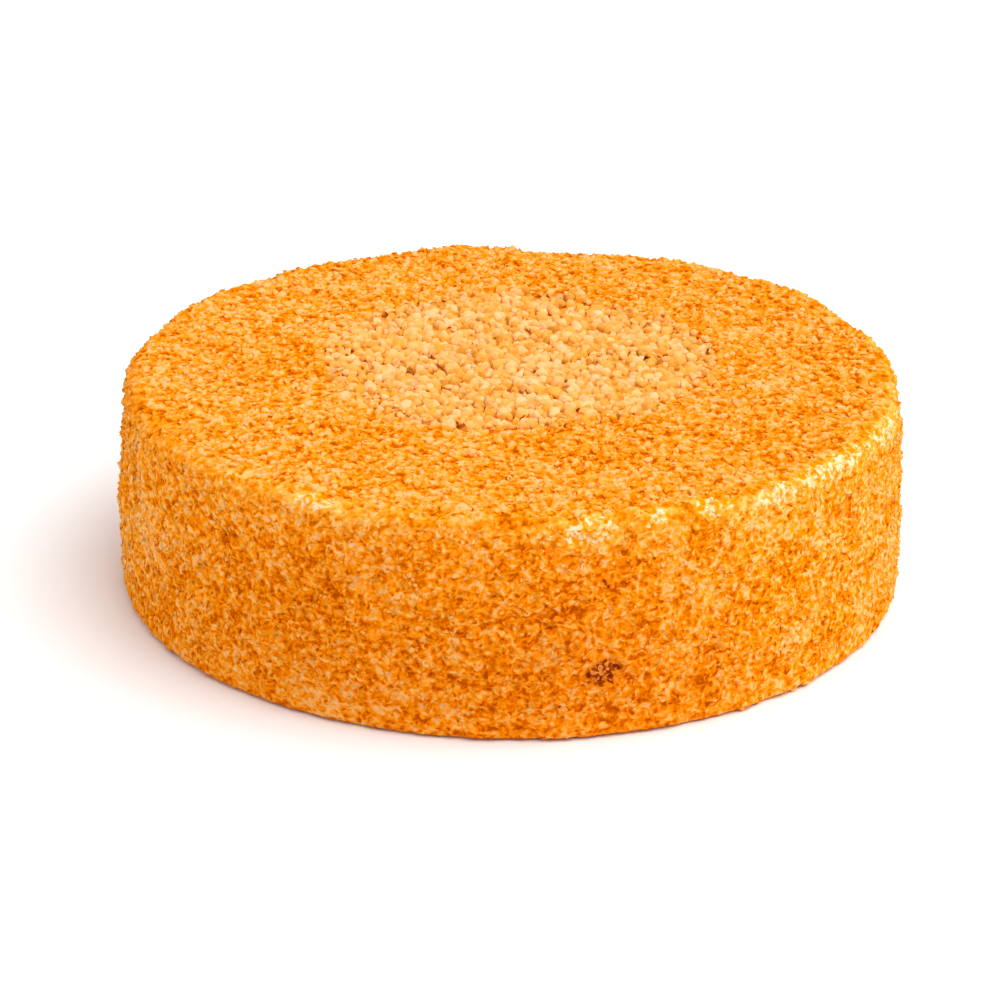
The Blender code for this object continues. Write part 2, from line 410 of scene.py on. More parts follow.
def wall_radius(share):
    """The wall's radius at a share of its height: a curve through its three radii."""
    foot = 2 * (share - 0.5) * (share - 1)
    middle = 4 * share * (1 - share)
    top = 2 * share * (share - 0.5)
    return BASE_RADIUS * foot + MIDDLE_RADIUS * middle + TOP_RADIUS * top


def section():
    """The cake's section from its foot up the wall, over the shoulder and in to the middle of its top:
    distance along it, radius, height, and the two parts of its outward normal."""
    turn = np.linspace(-math.pi / 2, 0, FOOT_POINTS)
    foot = [BASE_RADIUS + FOOT_RADIUS * (np.cos(turn) - 1), FOOT_RADIUS * (1 + np.sin(turn))]
    share = np.linspace(0, 1, WALL_POINTS + 2)[1:-1]
    wall_height = HEIGHT - SHOULDER_RADIUS - FOOT_RADIUS
    wall = [wall_radius(share), FOOT_RADIUS + wall_height * share]
    turn = np.linspace(0, math.pi / 2, SHOULDER_POINTS)
    shoulder = [
        FLAT_RADIUS + SHOULDER_RADIUS * np.cos(turn),
        HEIGHT + SHOULDER_RADIUS * (np.sin(turn) - 1),
    ]
    radius = np.linspace(FLAT_RADIUS, 0, TOP_POINTS)[1:]
    top = [radius, HEIGHT + DOME_RISE * (1 - (radius / FLAT_RADIUS) ** 2)]
    points = np.concatenate([foot, wall, shoulder, top], axis=1)
    steps = np.hypot(*np.diff(points, axis=1))
    along = np.concatenate([[0], np.cumsum(steps)])
    radial, upward = np.gradient(points, along, axis=1)
    length = np.hypot(radial, upward)
    return along, *points, upward / length, -radial / length


ALONG, RADIUS, LEVEL, NORMAL_OUT, NORMAL_UP = section()
SHOULDER_END = float(ALONG[-1]) - FLAT_RADIUS
SHOULDER_START = SHOULDER_END - SHOULDER_LENGTH


def angles_away(points, middle):
    """How many degrees round the cake each point is from a direction."""
    angle = np.degrees(np.arctan2(points[:, 1], points[:, 0]))
    return (angle - middle + 180) % 360 - 180


def rim_rise(points):
    nearness = smooth_step(np.hypot(points[:, 0], points[:, 1]), RIM_INNER_RADIUS, FLAT_RADIUS)
    rise = np.zeros(len(points))
    for middle, half_width, height in RIM_SWELLS:
        rise += height * np.exp(-((angles_away(points, middle) / half_width) ** 2))
    return rise * nearness * smooth_step(points[:, 2], HEIGHT / 2, HEIGHT)


def surface(angle, along):
    """Points of the surface under the loose crumbs, and the outward normals of its even form."""
    radius = np.interp(along, ALONG, RADIUS)
    out = np.interp(along, ALONG, NORMAL_OUT)
    up = np.interp(along, ALONG, NORMAL_UP)
    cos, sin = np.cos(angle), np.sin(angle)
    points = np.stack([radius * cos, radius * sin, np.interp(along, ALONG, LEVEL)], axis=1)
    normals = np.stack([out * cos, out * sin, up], axis=1)
    relief = LUMP_HEIGHT * noise_at(points, LUMP_SIZE) + CLOT_HEIGHT * noise_at(points, CLOT_SIZE)
    relief += KNOT_HEIGHT * noise_at(points, KNOT_SIZE, KNOT_SHIFT)
    relief = relief * smooth_step(along, 0, FOOT_LENGTH) - COAT_DEPTH
    moved = points + normals * relief[:, None]
    moved[:, 2] += rim_rise(points)
    return moved, normals


def along_at(x, y):
    """The distance along the section of a place on the flat of the top."""
    return SHOULDER_END + FLAT_RADIUS - np.hypot(x, y)


def top_surface(x, y):
    """The points and normals of that surface on the flat of the top, at x and y."""
    return surface(np.arctan2(y, x), along_at(x, y))


def bed_radius(angle):
    radius = np.full(np.shape(angle), BED_RADIUS)
    for lobes, swing, phase in BED_WAVES:
        radius = radius + swing * np.cos(lobes * angle + phase)
    return radius


def bed_reach(x, y):
    """How far inside the nut bed's outline a place is."""
    across, along = x - BED_CENTRE[0], y - BED_CENTRE[1]
    return bed_radius(np.arctan2(along, across)) - np.hypot(across, along)


def shoulder_share(points, along, patches, half_width):
    """How much of a list of patches along the shoulder is at each point."""
    share = np.zeros(len(points))
    for middle, half_angle, strength in patches:
        share += strength * np.exp(-((angles_away(points, middle) / half_angle) ** 2))
    sway = CREAM_SWAY * noise_at(points, CREAM_WAVE, SWAY_SHIFT)
    middle = SHOULDER_START + CREAM_MIDDLE * SHOULDER_LENGTH + sway
    return share * np.exp(-(((along - middle) / half_width) ** 2))


def cream_share(points, along):
    """How much cream shows at each point of the surface: up to 1 in the golden band, to 2 in the spots."""
    broken = np.clip(1 + BREAK_SWING * noise_at(points, BREAK_SIZE, BREAK_SHIFT), *BREAK_LIMITS)
    soaked = shoulder_share(points, along, SOAKED_PATCHES, SOAKED_HALF_WIDTH) * broken
    spots = shoulder_share(points, along, CREAM_SPOTS, CREAM_HALF_WIDTH) * broken
    return np.clip(soaked, 0, 1) + np.clip(SPOT_STRENGTH * spots, 0, 1)


def scorching(points):
    """How scorched the coat is at each point, from 0 to 1."""
    share = np.zeros(len(points))
    for middle, level, half_width, strength in SCORCHED_SPOTS:
        across = np.radians(angles_away(points, middle)) * BASE_RADIUS
        share += strength * np.exp(-(across**2 + (points[:, 2] - level) ** 2) / half_width**2)
    inside = np.hypot(points[:, 0], points[:, 1]) < FLAT_RADIUS
    return np.where(inside, 0, np.clip(share, 0, 1))


def toasting(points):
    """How much browner the coat is at each point, or paler where it is below 0."""
    share = np.zeros(len(points))
    for middle, half_width, level, half_height, strength in TOASTED_PATCHES:
        away = (angles_away(points, middle) / half_width) ** 2 + ((points[:, 2] - level) / half_height) ** 2
        share += strength * np.exp(-away)
    outside = smooth_step(np.hypot(points[:, 0], points[:, 1]), FLAT_RADIUS, TOP_RADIUS)
    return share * outside


def on_wall_share(along):
    """1 on the wall and 0 on the top, with a smooth change over the shoulder."""
    return smooth_step(along, SHOULDER_END, SHOULDER_START)


def coat_level(points, along):
    """How pale the coat is at each point, from orange at 0 to cream-coloured at 1."""
    swing = SLOW_SWING * noise_at(points, SLOW_SIZE, SLOW_SHIFT)
    swing += MIDDLE_SWING * noise_at(points, MIDDLE_SIZE, MIDDLE_SHIFT)
    mean = TOP_LEVEL + (WALL_LEVEL - TOP_LEVEL) * on_wall_share(along)
    return mean + swing - TOAST_LEVEL * toasting(points)


def coat_values(points, along):
    """The other numbers that colour the coat at each point."""
    return {
        "wall": on_wall_share(along),
        "toast": toasting(points),
        "scorched": scorching(points),
        "cream": cream_share(points, along),
    }


def mesh_object(name, points, faces, **values):
    """A smooth object from arrays of points and triangles, with one number a point for each named value.
    Points below the floor are raised to it."""
    points[:, 2] = np.maximum(points[:, 2], 0)
    mesh = bpy.data.meshes.new(name)
    mesh.vertices.add(len(points))
    mesh.vertices.foreach_set("co", np.ascontiguousarray(points, np.float32).ravel())
    mesh.loops.add(faces.size)
    mesh.loops.foreach_set("vertex_index", np.ascontiguousarray(faces, np.int32).ravel())
    mesh.polygons.add(len(faces))
    mesh.polygons.foreach_set("loop_start", np.arange(0, faces.size, 3, dtype=np.int32))
    mesh.polygons.foreach_set("use_smooth", np.full(len(faces), True))
    mesh.update(calc_edges=True)
    for key, numbers in values.items():
        attribute = mesh.attributes.new(key, "FLOAT", "POINT")
        attribute.data.foreach_set("value", np.ascontiguousarray(numbers, np.float32).ravel())
    made = bpy.data.objects.new(name, mesh)
    bpy.context.scene.collection.objects.link(made)
    return made


def band_faces(rings, count):
    """Triangles between closed rings of points that follow each other."""
    row = np.arange(rings - 1)[:, None] * count
    column = np.arange(count)[None, :]
    after = (column + 1) % count
    a, b, c, d = row + column, row + after, row + count + after, row + count + column
    return np.concatenate([np.stack([a, b, c], axis=-1), np.stack([a, c, d], axis=-1)]).reshape(-1, 3)


def fan_faces(first, count, centre, outward=True):
    """Triangles from a closed ring of points to one point."""
    column = first + np.arange(count)
    after = first + (np.arange(count) + 1) % count
    pair = (column, after) if outward else (after, column)
    return np.stack([*pair, np.full(count, centre)], axis=1)


def stacked(rings, low, high):
    """A closed mesh from rings of points with an end point below and one above them."""
    count = len(rings[0])
    points = np.concatenate([*rings, [low, high]])
    last = len(points) - 1
    faces = np.concatenate([
        band_faces(len(rings), count),
        fan_faces(0, count, last - 1, outward=False),
        fan_faces((len(rings) - 1) * count, count, last),
    ])
    return points, faces


def cake_core():
    """The body under the loose crumbs, with a hollow for the nuts."""
    angles = even_turns(CORE_COLUMNS)
    circle = circle_points(angles)
    side = []
    for along in np.linspace(0, SHOULDER_END, CORE_SIDE_RINGS):
        side.append(surface(angles, np.full(CORE_COLUMNS, along))[0])
    inner = BED_CENTRE + circle * (bed_radius(angles) + GAP)[:, None]
    top = []
    for share in np.linspace(0, 1, CORE_TOP_RINGS)[1:]:
        flat = circle * FLAT_RADIUS * (1 - share) + inner * share
        top.append(top_surface(*flat.T)[0])
    floor_level = HEIGHT + BED_UNDERSIDE - GAP
    floor = np.column_stack([inner, np.full(CORE_COLUMNS, floor_level)])
    points, faces = stacked([*side, *top, floor], (0, 0, 0), (*BED_CENTRE, floor_level))
    along_side = np.interp(points[:, 2], LEVEL[:SIDE_POINTS], ALONG[:SIDE_POINTS])
    along = np.where(points[:, 2] > HEIGHT - TOP_DEPTH, along_at(*points[:, :2].T), along_side)
    # Painted light and shade: the core is painted paler on its raised knots and darker between them
    level = coat_level(points, along) + KNOT_LIGHT_SWING * noise_at(points, KNOT_SIZE, KNOT_SHIFT)
    return mesh_object("cake_core", points, faces, level=level, **coat_values(points, along))


# The shapes of crumbs and nuts. Each function makes a number of variants about 1 across, with their
# outer side up: their points, the triangles that they share, and how much paler each point is painted,
# as painted light on rims and raised faces and painted shade in pits


def crumb_cups(count):
    """Small open cups with thick uneven rims, like torn bubbles in sponge."""
    sides = 7
    spin, rim_swing, end_swing = 0.25, 0.14, 0.06
    rim_reach = (0.36, 0.56)
    lip_share = (0.42, 0.66)
    lip_drop, pit_depth, back_depth = 0.03, 0.34, 0.55
    # Painted light and shade: the rim and lip are painted paler and the pit darker, as light falls on the
    # rims and shade in the pit
    rim_light, lip_light, pit_shade = 0.04, 0.06, -0.20
    turn = even_turns(sides) + rng.uniform(-spin, spin, (count, sides))
    outer = circle_points(turn) * rng.uniform(*rim_reach, (count, sides, 1))
    inner = outer * rng.uniform(*lip_share, (count, sides, 1))
    brim = rng.uniform(-rim_swing, rim_swing, (count, sides, 1))
    rim = np.concatenate([outer, brim], axis=2)
    lip = np.concatenate([inner, brim - lip_drop], axis=2)
    pit = np.array([0, 0, -pit_depth]) + rng.uniform(-end_swing, end_swing, (count, 1, 3))
    back = np.array([0, 0, -back_depth]) + rng.uniform(-end_swing, end_swing, (count, 1, 3))
    points = np.concatenate([rim, lip, pit, back], axis=1)
    faces = np.concatenate([
        band_faces(2, sides),
        fan_faces(0, sides, 2 * sides + 1, outward=False),
        fan_faces(sides, sides, 2 * sides),
    ])
    return points, faces, np.repeat([rim_light, lip_light, pit_shade, 0.0], [sides, sides, 1, 1])


def crumb_curls(count):
    """Short bent shreds, triangular across."""
    steps, sides = 4, 3
    sweeps = (1.6, 4.2)
    spin = 2
    thickness = (0.10, 0.19)
    bend_radius = 0.36
    paler = 0.06
    sweep = rng.uniform(*sweeps, (count, 1, 1))
    turn = sweep * np.linspace(0.5, -0.5, steps)[None, :, None]
    across = even_turns(sides) + rng.uniform(0, spin, (count, 1, 1))
    thick = rng.uniform(*thickness, (count, steps, 1))
    reach = bend_radius + thick * np.cos(across)
    rise = thick * np.sin(across)
    points = np.stack([reach * np.cos(turn), reach * np.sin(turn), rise], axis=3)
    points = points.reshape(count, steps * sides, 3)
    last = (steps - 1) * sides
    ends = [[0, 2, 1], [last, last + 1, last + 2]]
    return points, np.concatenate([band_faces(steps, sides), ends]), np.full(steps * sides, paler)


def crumb_flakes(count):
    """Thin torn flakes, a little dished."""
    sides = 8
    spin = 0.3
    mean_reach, oval, three_lobed, torn = 0.40, 0.09, 0.07, 0.06
    edge_levels = (-0.17, -0.07)
    face_level, face_swing = 0.06, 0.08
    back_depth, back_swing = 0.50, 0.06
    # The middle of the face is painted a little paler, as painted light on its raised middle
    paler = 0.03
    turn = even_turns(sides) + rng.uniform(-spin, spin, (count, sides)) * 2 * math.pi / sides
    waves = rng.uniform(0, 2 * math.pi, (count, 2, 1))
    reach = mean_reach + oval * np.cos(2 * turn + waves[:, 0]) + three_lobed * np.cos(3 * turn + waves[:, 1])
    reach = (reach + rng.uniform(-torn, torn, (count, sides)))[:, :, None]
    outline = circle_points(turn) * reach
    edge = np.concatenate([outline, rng.uniform(*edge_levels, (count, sides, 1))], axis=2)
    face = np.array([0, 0, face_level]) + rng.uniform(-face_swing, face_swing, (count, 1, 3))
    back = np.array([0, 0, -back_depth]) + rng.uniform(-back_swing, back_swing, (count, 1, 3))
    faces = np.concatenate([fan_faces(0, sides, sides), fan_faces(0, sides, sides + 1, outward=False)])
    level = np.repeat([0.0, paler, 0.0], [sides, 1, 1])
    return np.concatenate([edge, face, back], axis=1), faces, level


def mesh_arrays(bm):
    """The points and triangles of a bmesh, which is freed."""
    bm.verts.index_update()
    points = np.array([vert.co for vert in bm.verts])
    faces = np.array([[vert.index for vert in face.verts] for face in bm.faces])
    bm.free()
    return points, faces


def crumb_knobs(count):
    """Uneven lumps: coarse balls, swollen and stretched."""
    swelling = (0.55, 1.3)
    stretching = (0.6, 1.0)
    bm = bmesh.new()
    bmesh.ops.create_icosphere(bm, subdivisions=1, radius=0.5)
    points, faces = mesh_arrays(bm)
    swell = rng.uniform(*swelling, (count, len(points), 1))
    stretch = rng.uniform(*stretching, (count, 1, 3))
    return points * swell * stretch, faces, np.zeros(len(points))


def crumb_grains(count):
    """Fine angular crumbs: uneven blocks."""
    half = 0.4
    unevenness = (0.55, 1.3)
    square = ((-half, -half), (half, -half), (half, half), (-half, half))
    corners = np.array([(x, y, z) for z in (-half, half) for x, y in square])
    points = corners * rng.uniform(*unevenness, (count, len(corners), 3))
    ends = [[0, 2, 1], [0, 3, 2], [4, 5, 6], [4, 6, 7]]
    return points, np.concatenate([band_faces(2, len(square)), ends]), np.zeros(len(corners))


def outward_turns(normals, tilt):
    """Rotations that turn each piece's z axis outward, lean it at random and spin it."""
    up = unit(normals + rng.normal(size=normals.shape) * tilt)
    side = unit(np.cross(up, rng.normal(size=normals.shape)))
    return np.stack([side, np.cross(up, side), up], axis=2)


def soften(piece, points, faces, outward, softness):
    """Shades the outer side of small pieces without dark edges, leaning toward the surface they lie on,
    as light inside crumb makes it look. Their undersides are shaded flat, turned halfway outward."""
    corners = points[faces]
    flat = np.cross(corners[:, 1] - corners[:, 0], corners[:, 2] - corners[:, 0])
    shown = np.einsum("ij,ij->i", unit(flat), outward[faces[:, 0]]) > SHOWN_FACING
    weights = flat * shown[:, None]
    sums = np.stack([np.bincount(faces.ravel(), np.repeat(weights[:, axis], 3), len(points))
                     for axis in range(3)], axis=1)
    leaning = unit((1 - softness) * unit(sums) + softness * outward)
    under = unit(unit(flat) + outward[faces[:, 0]])
    normals = np.where(shown[:, None, None], leaning[faces], under[:, None, :])
    piece.data.normals_split_custom_set(normals.reshape(-1, 3).tolist())


def scatter(name, shapes, places, normals, sizes, lift, tilt, softness, each_level, rise, **values):
    """One joined mesh of many small pieces, set into the surface."""
    variants, faces, level = shapes
    count = len(places)
    chosen = variants[rng.integers(0, len(variants), count)]
    turned = np.einsum("nij,nvj->nvi", outward_turns(normals, tilt), chosen) * sizes[:, None, None]
    joined = turned + (places + normals * lift[:, None])[:, None, :]
    height = np.einsum("nvi,ni->nv", joined - places[:, None, :], normals)
    # Painted light and shade: points that stand out are painted paler and deeper ones darker
    levels = level + (rise * height.T).T + each_level[:, None]
    first = np.arange(count)[:, None, None] * chosen.shape[1]
    each = {key: np.repeat(numbers, chosen.shape[1]) for key, numbers in values.items()}
    points, faces = joined.reshape(-1, 3), (faces + first).reshape(-1, 3)
    made = mesh_object(name, points, faces, level=levels.ravel(), **each)
    soften(made, points, faces, np.repeat(normals, chosen.shape[1], axis=0), softness)
    return made


def wall_places(count):
    """Even but unordered places from the foot to the top of the shoulder."""
    start = FOOT_LENGTH / 2
    length = SHOULDER_END - start
    rows = round(math.sqrt(count * length / (2 * math.pi * BASE_RADIUS)))
    columns = round(count / rows)
    row, column = np.divmod(np.arange(rows * columns), columns)
    along = start + (row + 0.5 + rng.uniform(-WALL_JITTER, WALL_JITTER, len(row))) * length / rows
    angle = (column + row % 2 / 2 + rng.uniform(-WALL_JITTER, WALL_JITTER, len(row))) * 2 * math.pi / columns
    return (*surface(angle, along), along)


def top_places(count):
    """Even but unordered places on the flat of the top, outside the nut bed."""
    step = math.sqrt(math.pi * (FLAT_RADIUS**2 - BED_RADIUS**2) / count)
    cells = np.arange(-math.ceil(FLAT_RADIUS / step), math.ceil(FLAT_RADIUS / step) + 1)
    grid = np.stack(np.meshgrid(cells, cells), axis=-1).reshape(-1, 2)
    flat = (grid + rng.uniform(-TOP_JITTER, TOP_JITTER, grid.shape)) * step
    outside_bed = bed_reach(*flat.T) < rng.normal(CRUMB_EDGE, EDGE_STRAY, len(flat))
    flat = flat[(np.hypot(*flat.T) < FLAT_RADIUS) & outside_bed]
    return (*top_surface(*flat.T), along_at(*flat.T))


# Sorts of crumb: how the shapes are made, least and greatest size, how many on the wall and on the top,
# how far they lean, and how far they stand out as a share of their size
CRUMB_SORTS = {
    "crumb_flakes": (crumb_flakes, (0.0018, 0.0034), 4200, 1500, 0.18, (0.00, 0.08)),
    "crumb_cups": (crumb_cups, (0.0018, 0.0030), 2000, 500, 0.25, (-0.04, 0.06)),
    "crumb_curls": (crumb_curls, (0.0016, 0.0030), 3400, 1500, 0.15, (-0.12, -0.02)),
    "crumb_knobs": (crumb_knobs, (0.0018, 0.0034), 4000, 5600, ANY_WAY, (-0.32, -0.06)),
    "crumb_grains": (crumb_grains, (0.0008, 0.0013), 3000, 1000, ANY_WAY, (-0.20, 0.10)),
}


def loose_crumbs():
    made = []
    for name, (make, limits, on_wall, on_top, lean, lifts) in CRUMB_SORTS.items():
        both = zip(wall_places(on_wall), top_places(on_top))
        places, normals, along = (np.concatenate(pair) for pair in both)
        count = len(places)
        sizes = limits[0] + (limits[1] - limits[0]) * rng.beta(*CRUMB_SIZE_SPREAD, count)
        on_flat = along > SHOULDER_END
        lift = sizes * (rng.uniform(*lifts, count) + TOP_LIFT * on_flat)
        lift += STRAY_LIFT * (bed_reach(*places[:, :2].T) > 0) * on_flat
        lift -= FOOT_SINK * (1 - smooth_step(along, FOOT_LENGTH, FOOT_SINK_END))
        tilt = np.where(on_flat, TOP_LEAN, 1)[:, None] * lean
        level = coat_level(places, along) + rng.normal(0, PIECE_SWING, count)
        # How much paler raised points are painted, as painted light, on the top and on the wall
        rise = np.where(on_flat, TOP_HEIGHT_LIGHT, WALL_HEIGHT_LIGHT)
        shapes = make(CRUMB_SHAPES)
        values = coat_values(places, along)
        values["cream"] *= rng.uniform(*PIECE_CREAM, count)
        made.append(scatter(name, shapes, places, normals, sizes, lift, tilt, CRUMB_SOFTNESS, level,
                            rise, **values))
    return made


def nut_shapes(count):
    """Uneven blocks: a cube split once and partly rounded, then cut flat by random planes."""
    ball_radius, ball_share = 0.55, 0.55
    cube_share = 0.45
    cuts = 5
    cut_levels = (0.24, 0.44)
    stretching = (0.6, 1.05)
    unevenness = 0.03
    bm = bmesh.new()
    bmesh.ops.create_cube(bm, size=1.0)
    bmesh.ops.subdivide_edges(bm, edges=list(bm.edges), cuts=1, use_grid_fill=True)
    bmesh.ops.triangulate(bm, faces=list(bm.faces))
    points, faces = mesh_arrays(bm)
    rounded = unit(points) * ball_radius
    made = np.repeat((cube_share * points + ball_share * rounded)[None], count, axis=0)
    for _ in range(cuts):
        facing = unit(rng.normal(size=(count, 1, 3)))
        level = rng.uniform(*cut_levels, (count, 1, 1))
        beyond = np.maximum(np.sum(made * facing, axis=2, keepdims=True) - level, 0)
        made = made - facing * beyond
    made = made * rng.uniform(*stretching, (count, 1, 3))
    made = made + rng.uniform(-unevenness, unevenness, made.shape)
    return made, faces, np.zeros(len(points))


def nut_places():
    """The lower nuts' places: an uneven grid inside the bed's outline, with a few strays."""
    cells = np.arange(-NUT_CELLS, NUT_CELLS + 1)
    column, row = np.meshgrid(cells, cells)
    flat = np.stack([(column + row % 2 / 2).ravel(), row.ravel() * NUT_ROW_SHARE], axis=1)
    flat = (flat + rng.uniform(-NUT_JITTER, NUT_JITTER, flat.shape)) * NUT_PITCH + BED_CENTRE
    return flat[bed_reach(*flat.T) > rng.normal(NUT_EDGE, EDGE_STRAY, len(flat))]


def chopped_nuts():
    """Two layers of loose nuts: a full one, and a few more on it."""
    low = nut_places()
    high = low[rng.uniform(size=len(low)) < UPPER_SHARE]
    high = high + rng.uniform(-UPPER_JITTER, UPPER_JITTER, high.shape) * NUT_PITCH
    upper = np.repeat([0.0, 1.0], [len(low), len(high)])
    places, normals = top_surface(*np.concatenate([low, high]).T)
    count = len(places)
    sizes = rng.uniform(*NUT_SIZE, count)
    lift = NUT_LIFT + upper * UPPER_LIFT + rng.uniform(*NUT_LIFT_SWING, count)
    edge = np.exp(-np.maximum(bed_reach(*places[:, :2].T), 0) / NUT_EDGE_WIDTH)
    level = NUT_LEVEL_RANGE * rng.beta(*NUT_LEVEL_SPREAD, count) - NUT_DEPTH - NUT_EDGE_DEPTH * edge
    return scatter("chopped_nut_pieces", nut_shapes(NUT_SHAPES), places, normals, sizes, lift, ANY_WAY,
                   NUT_SOFTNESS, level, np.full(count, NUT_HEIGHT_LIGHT), tint=rng.uniform(size=count))


def nut_core():
    """The nuts' own core: a bumpy disc that fills their place and runs a little into its side."""
    angles = even_turns(NUT_CORE_COLUMNS)
    edge = circle_points(angles) * (bed_radius(angles) + 2 * GAP)[:, None]
    underside, top = HEIGHT + BED_UNDERSIDE, HEIGHT + NUT_CORE_TOP
    rings = [np.column_stack([edge + BED_CENTRE, np.full(NUT_CORE_COLUMNS, underside)])]
    for share in np.linspace(1, NUT_CORE_INNER_SHARE, NUT_CORE_RINGS):
        flat = edge * share + BED_CENTRE
        level = np.column_stack([flat, np.zeros(NUT_CORE_COLUMNS)])
        bumps = NUT_CORE_BUMP_HEIGHT * noise_at(level, NUT_CORE_BUMP_SIZE, BUMP_SHIFT)
        rings.append(np.column_stack([flat, top + bumps]))
    points, faces = stacked(rings, (*BED_CENTRE, underside), (*BED_CENTRE, top))
    # Painted shade: the core is painted darker than the nuts, where it shows in the gaps between them
    return mesh_object("nut_bed_core", points, faces, level=np.full(len(points), NUT_GAP_SHADE_LEVEL),
                       tint=np.full(len(points), NUT_CORE_TINT))


def add_node(tree, kind, inputs=None, **settings):
    """A new node. Its inputs, by name or number, are linked to a socket or set to a value."""
    made = tree.nodes.new(kind)
    for key, value in settings.items():
        setattr(made, key, value)
    for key, value in (inputs or {}).items():
        if isinstance(value, bpy.types.NodeSocket):
            tree.links.new(value, made.inputs[key])
        else:
            made.inputs[key].default_value = value
    return made


def attribute(tree, name):
    return add_node(tree, "ShaderNodeAttribute", attribute_name=name).outputs["Fac"]


def maths(tree, operation, *numbers, clamp=False):
    inputs = dict(enumerate(numbers))
    return add_node(tree, "ShaderNodeMath", inputs, operation=operation, use_clamp=clamp).outputs[0]


def ramp(tree, factor, stops):
    made = add_node(tree, "ShaderNodeValToRGB", {"Fac": factor})
    elements = made.color_ramp.elements
    while len(elements) < len(stops):
        elements.new(0.5)
    for element, (position, colour) in zip(elements, stops):
        element.position = position
        element.color = (*colour, 1)
    return made.outputs["Color"]


def mix(tree, factor, a, b, blend="MIX"):
    made = add_node(tree, "ShaderNodeMix", {0: factor, 6: a, 7: b}, data_type="RGBA", blend_type=blend)
    return made.outputs[2]


def new_material(name):
    made = bpy.data.materials.new(name)
    made.use_nodes = True
    return made, made.node_tree, made.node_tree.nodes["Principled BSDF"]


def noise_texture(tree, place, size):
    inputs = {"Vector": place, "Scale": 1 / size, "Detail": NOISE_DETAIL}
    return add_node(tree, "ShaderNodeTexNoise", inputs).outputs


def noise_node(tree, place, size):
    """Noise between about -0.3 and 0.3, with features of a size."""
    return maths(tree, "SUBTRACT", noise_texture(tree, place, size)["Fac"], 0.5)


def map_range(tree, value, low, high, at_low=0.0, at_high=1.0, soft=False):
    inputs = {"Value": value, 1: low, 2: high, 3: at_low, 4: at_high}
    kind = "SMOOTHSTEP" if soft else "LINEAR"
    return add_node(tree, "ShaderNodeMapRange", inputs, interpolation_type=kind).outputs[0]


def mix_numbers(tree, factor, a, b):
    made = add_node(tree, "ShaderNodeMix", {0: factor, 2: a, 3: b}, data_type="FLOAT")
    return made.outputs[0]


def bent_place(tree, place, size, reach):
    """A place moved a little by noise, so that patterns get curly outlines."""
    bend = noise_texture(tree, place, size)["Color"]
    centred = add_node(tree, "ShaderNodeVectorMath", {0: bend, 1: (0.5, 0.5, 0.5)},
                       operation="SUBTRACT")
    made = add_node(tree, "ShaderNodeVectorMath", {0: centred.outputs[0], 1: (reach,) * 3, 2: place},
                    operation="MULTIPLY_ADD")
    return made.outputs[0]


def crumb_pattern(tree, place, scale):
    """The height of the patches, grain and thin ridges of crumb, about 0 on the whole."""
    bent = bent_place(tree, place, BEND_SIZE * scale, BEND_REACH * scale)
    patches = maths(tree, "MULTIPLY", noise_node(tree, bent, PATCH_SIZE * scale), PATCH_HEIGHT)
    grain = noise_node(tree, bent, GRAIN_SIZE * scale)
    edges = add_node(tree, "ShaderNodeTexVoronoi", {"Vector": bent, "Scale": 1 / (RIDGE_PITCH * scale)},
                     feature="DISTANCE_TO_EDGE")
    ridges = map_range(tree, edges.outputs["Distance"], 0.0, RIDGE_WIDTH, 1.0, 0.0, soft=True)
    broken = map_range(tree, noise_node(tree, place, RIDGE_BREAK_SIZE * scale), *RIDGE_BREAK_LIMITS)
    ridges = maths(tree, "SUBTRACT", maths(tree, "MULTIPLY", ridges, broken), RIDGE_MEAN)
    return maths(tree, "MULTIPLY_ADD", ridges, RIDGE_HEIGHT, maths(tree, "ADD", patches, grain))


def broken_up(tree, share, relief, strength):
    """A share that the relief raises in some places and lowers in others."""
    return maths(tree, "MULTIPLY", share, maths(tree, "MULTIPLY_ADD", relief, strength, 1.0))


def creamed(tree, colour, relief, level):
    """The coat's colour with the golden band and the cream in it."""
    cream = attribute(tree, "cream")
    soaked = mix(tree, map_range(tree, level, *SOAKED_LEVELS), SOAKED, PALE_SOAKED)
    colour = mix(tree, map_range(tree, cream, 0.0, 1.0, 0.0, SOAKED_COVER), colour, soaked)
    # Painted shade: the cream is painted darker and more orange in the pattern's hollows
    white = mix(tree, map_range(tree, relief, *CREAM_HEIGHTS), SHADED_CREAM, CREAM)
    cover = map_range(tree, broken_up(tree, cream, relief, OUTLINE_BREAK), *CREAM_LIMITS)
    return mix(tree, cover, colour, white)


def specked(tree, colour, place, wall):
    """The coat's colour with dark and red specks, fainter on the top."""
    cells = add_node(tree, "ShaderNodeTexVoronoi", {"Vector": place, "Scale": 1 / SPECK_PITCH})
    chance = add_node(tree, "ShaderNodeSeparateColor", {"Color": cells.outputs["Color"]})
    radius = map_range(tree, chance.outputs["Green"], SPECK_CHANCE, 1.0, 0.0, SPECK_RADIUS)
    beyond = maths(tree, "SUBTRACT", cells.outputs["Distance"], radius)
    speck = mix(tree, map_range(tree, chance.outputs["Red"], *SPECK_TINTS), DARK_SPECK, RED_SPECK)
    cover = map_range(tree, beyond, -SPECK_EDGE, 0.0, SPECK_COVER, 0.0, soft=True)
    by_place = map_range(tree, wall, 0.0, 1.0, TOP_SPECK_SHARE, 1.0)
    return mix(tree, maths(tree, "MULTIPLY", cover, by_place), colour, speck)


